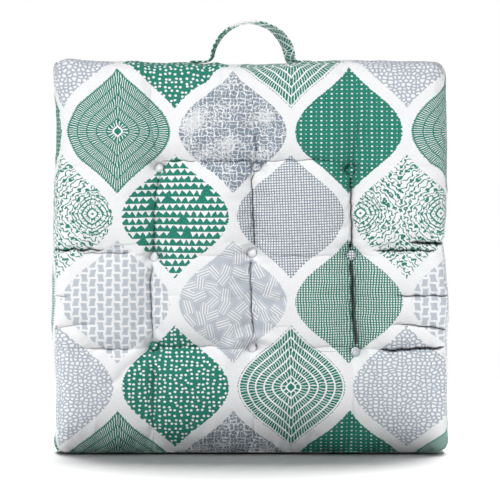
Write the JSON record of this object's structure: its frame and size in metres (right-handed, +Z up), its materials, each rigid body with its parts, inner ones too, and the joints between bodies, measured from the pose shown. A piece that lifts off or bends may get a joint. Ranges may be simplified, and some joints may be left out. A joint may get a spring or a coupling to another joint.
{
  "type": "tufted floor cushion",
  "caption": "Square boxed floor cushion, button-tufted on both faces, in lattice-printed cotton, with a folding loop handle on its upper edge, standing on its lower edge.",
  "frame": {"origin": "middle of the lower edge, on the floor that the cushion stands on", "axes": "+Z up the cushion to the handle, -Y out of the front face, +Y through the thickness to the back face, +X to the right as seen from the front"},
  "size_m": [0.61, 0.127, 0.6639],
  "materials": {
    "printed_cotton": "matte woven, printed",
    "sewing_thread": "matte spun thread",
    "polyester_fibre": "lofted fibre",
    "cotton_webbing": "matte woven",
    "tufting_twine": "waxed, twisted",
    "button_steel": "pressed, zinc plated"
  },
  "bodies": {
    "cushion": {"back_button_bottom_centre": "printed_cotton", "back_button_bottom_left": "printed_cotton", "back_button_bottom_right": "printed_cotton", "back_button_middle_centre": "printed_cotton", "back_button_middle_left": "printed_cotton", "back_button_middle_right": "printed_cotton", "back_button_plates": "button_steel", "back_button_shanks": "button_steel", "back_button_shells": "button_steel", "back_button_top_centre": "printed_cotton", "back_button_top_left": "printed_cotton", "back_button_top_right": "printed_cotton", "back_panel": "printed_cotton", "back_seam": "sewing_thread", "bottom_boxing": "printed_cotton", "corner_seams": "sewing_thread", "fibre_filling": "polyester_fibre", "front_button_bottom_centre": "printed_cotton", "front_button_bottom_left": "printed_cotton", "front_button_bottom_right": "printed_cotton", "front_button_middle_centre": "printed_cotton", "front_button_middle_left": "printed_cotton", "front_button_middle_right": "printed_cotton", "front_button_plates": "button_steel", "front_button_shanks": "button_steel", "front_button_shells": "button_steel", "front_button_top_centre": "printed_cotton", "front_button_top_left": "printed_cotton", "front_button_top_right": "printed_cotton", "front_panel": "printed_cotton", "front_seam": "sewing_thread", "handle_end_stitching": "sewing_thread", "handle_left_end": "printed_cotton", "handle_right_end": "printed_cotton", "left_boxing": "printed_cotton", "right_boxing": "printed_cotton", "top_boxing": "printed_cotton", "tufting_twine_bottom_centre": "tufting_twine", "tufting_twine_bottom_left": "tufting_twine", "tufting_twine_bottom_right": "tufting_twine", "tufting_twine_middle_centre": "tufting_twine", "tufting_twine_middle_left": "tufting_twine", "tufting_twine_middle_right": "tufting_twine", "tufting_twine_top_centre": "tufting_twine", "tufting_twine_top_left": "tufting_twine", "tufting_twine_top_right": "tufting_twine"},
    "handle": {"handle_strap": "printed_cotton", "handle_webbing": "cotton_webbing", "handle_edge_stitching": "sewing_thread"}
  },
  "joints": [
    {"name": "handle_fold", "type": "hinge", "parent": "cushion", "child": "handle", "pos_m": [0, 0, 0.6155], "axis": [1, 0, 0], "range_deg": [-85, 85], "stiffness_Nm_per_rad": 0.02}
  ]
}
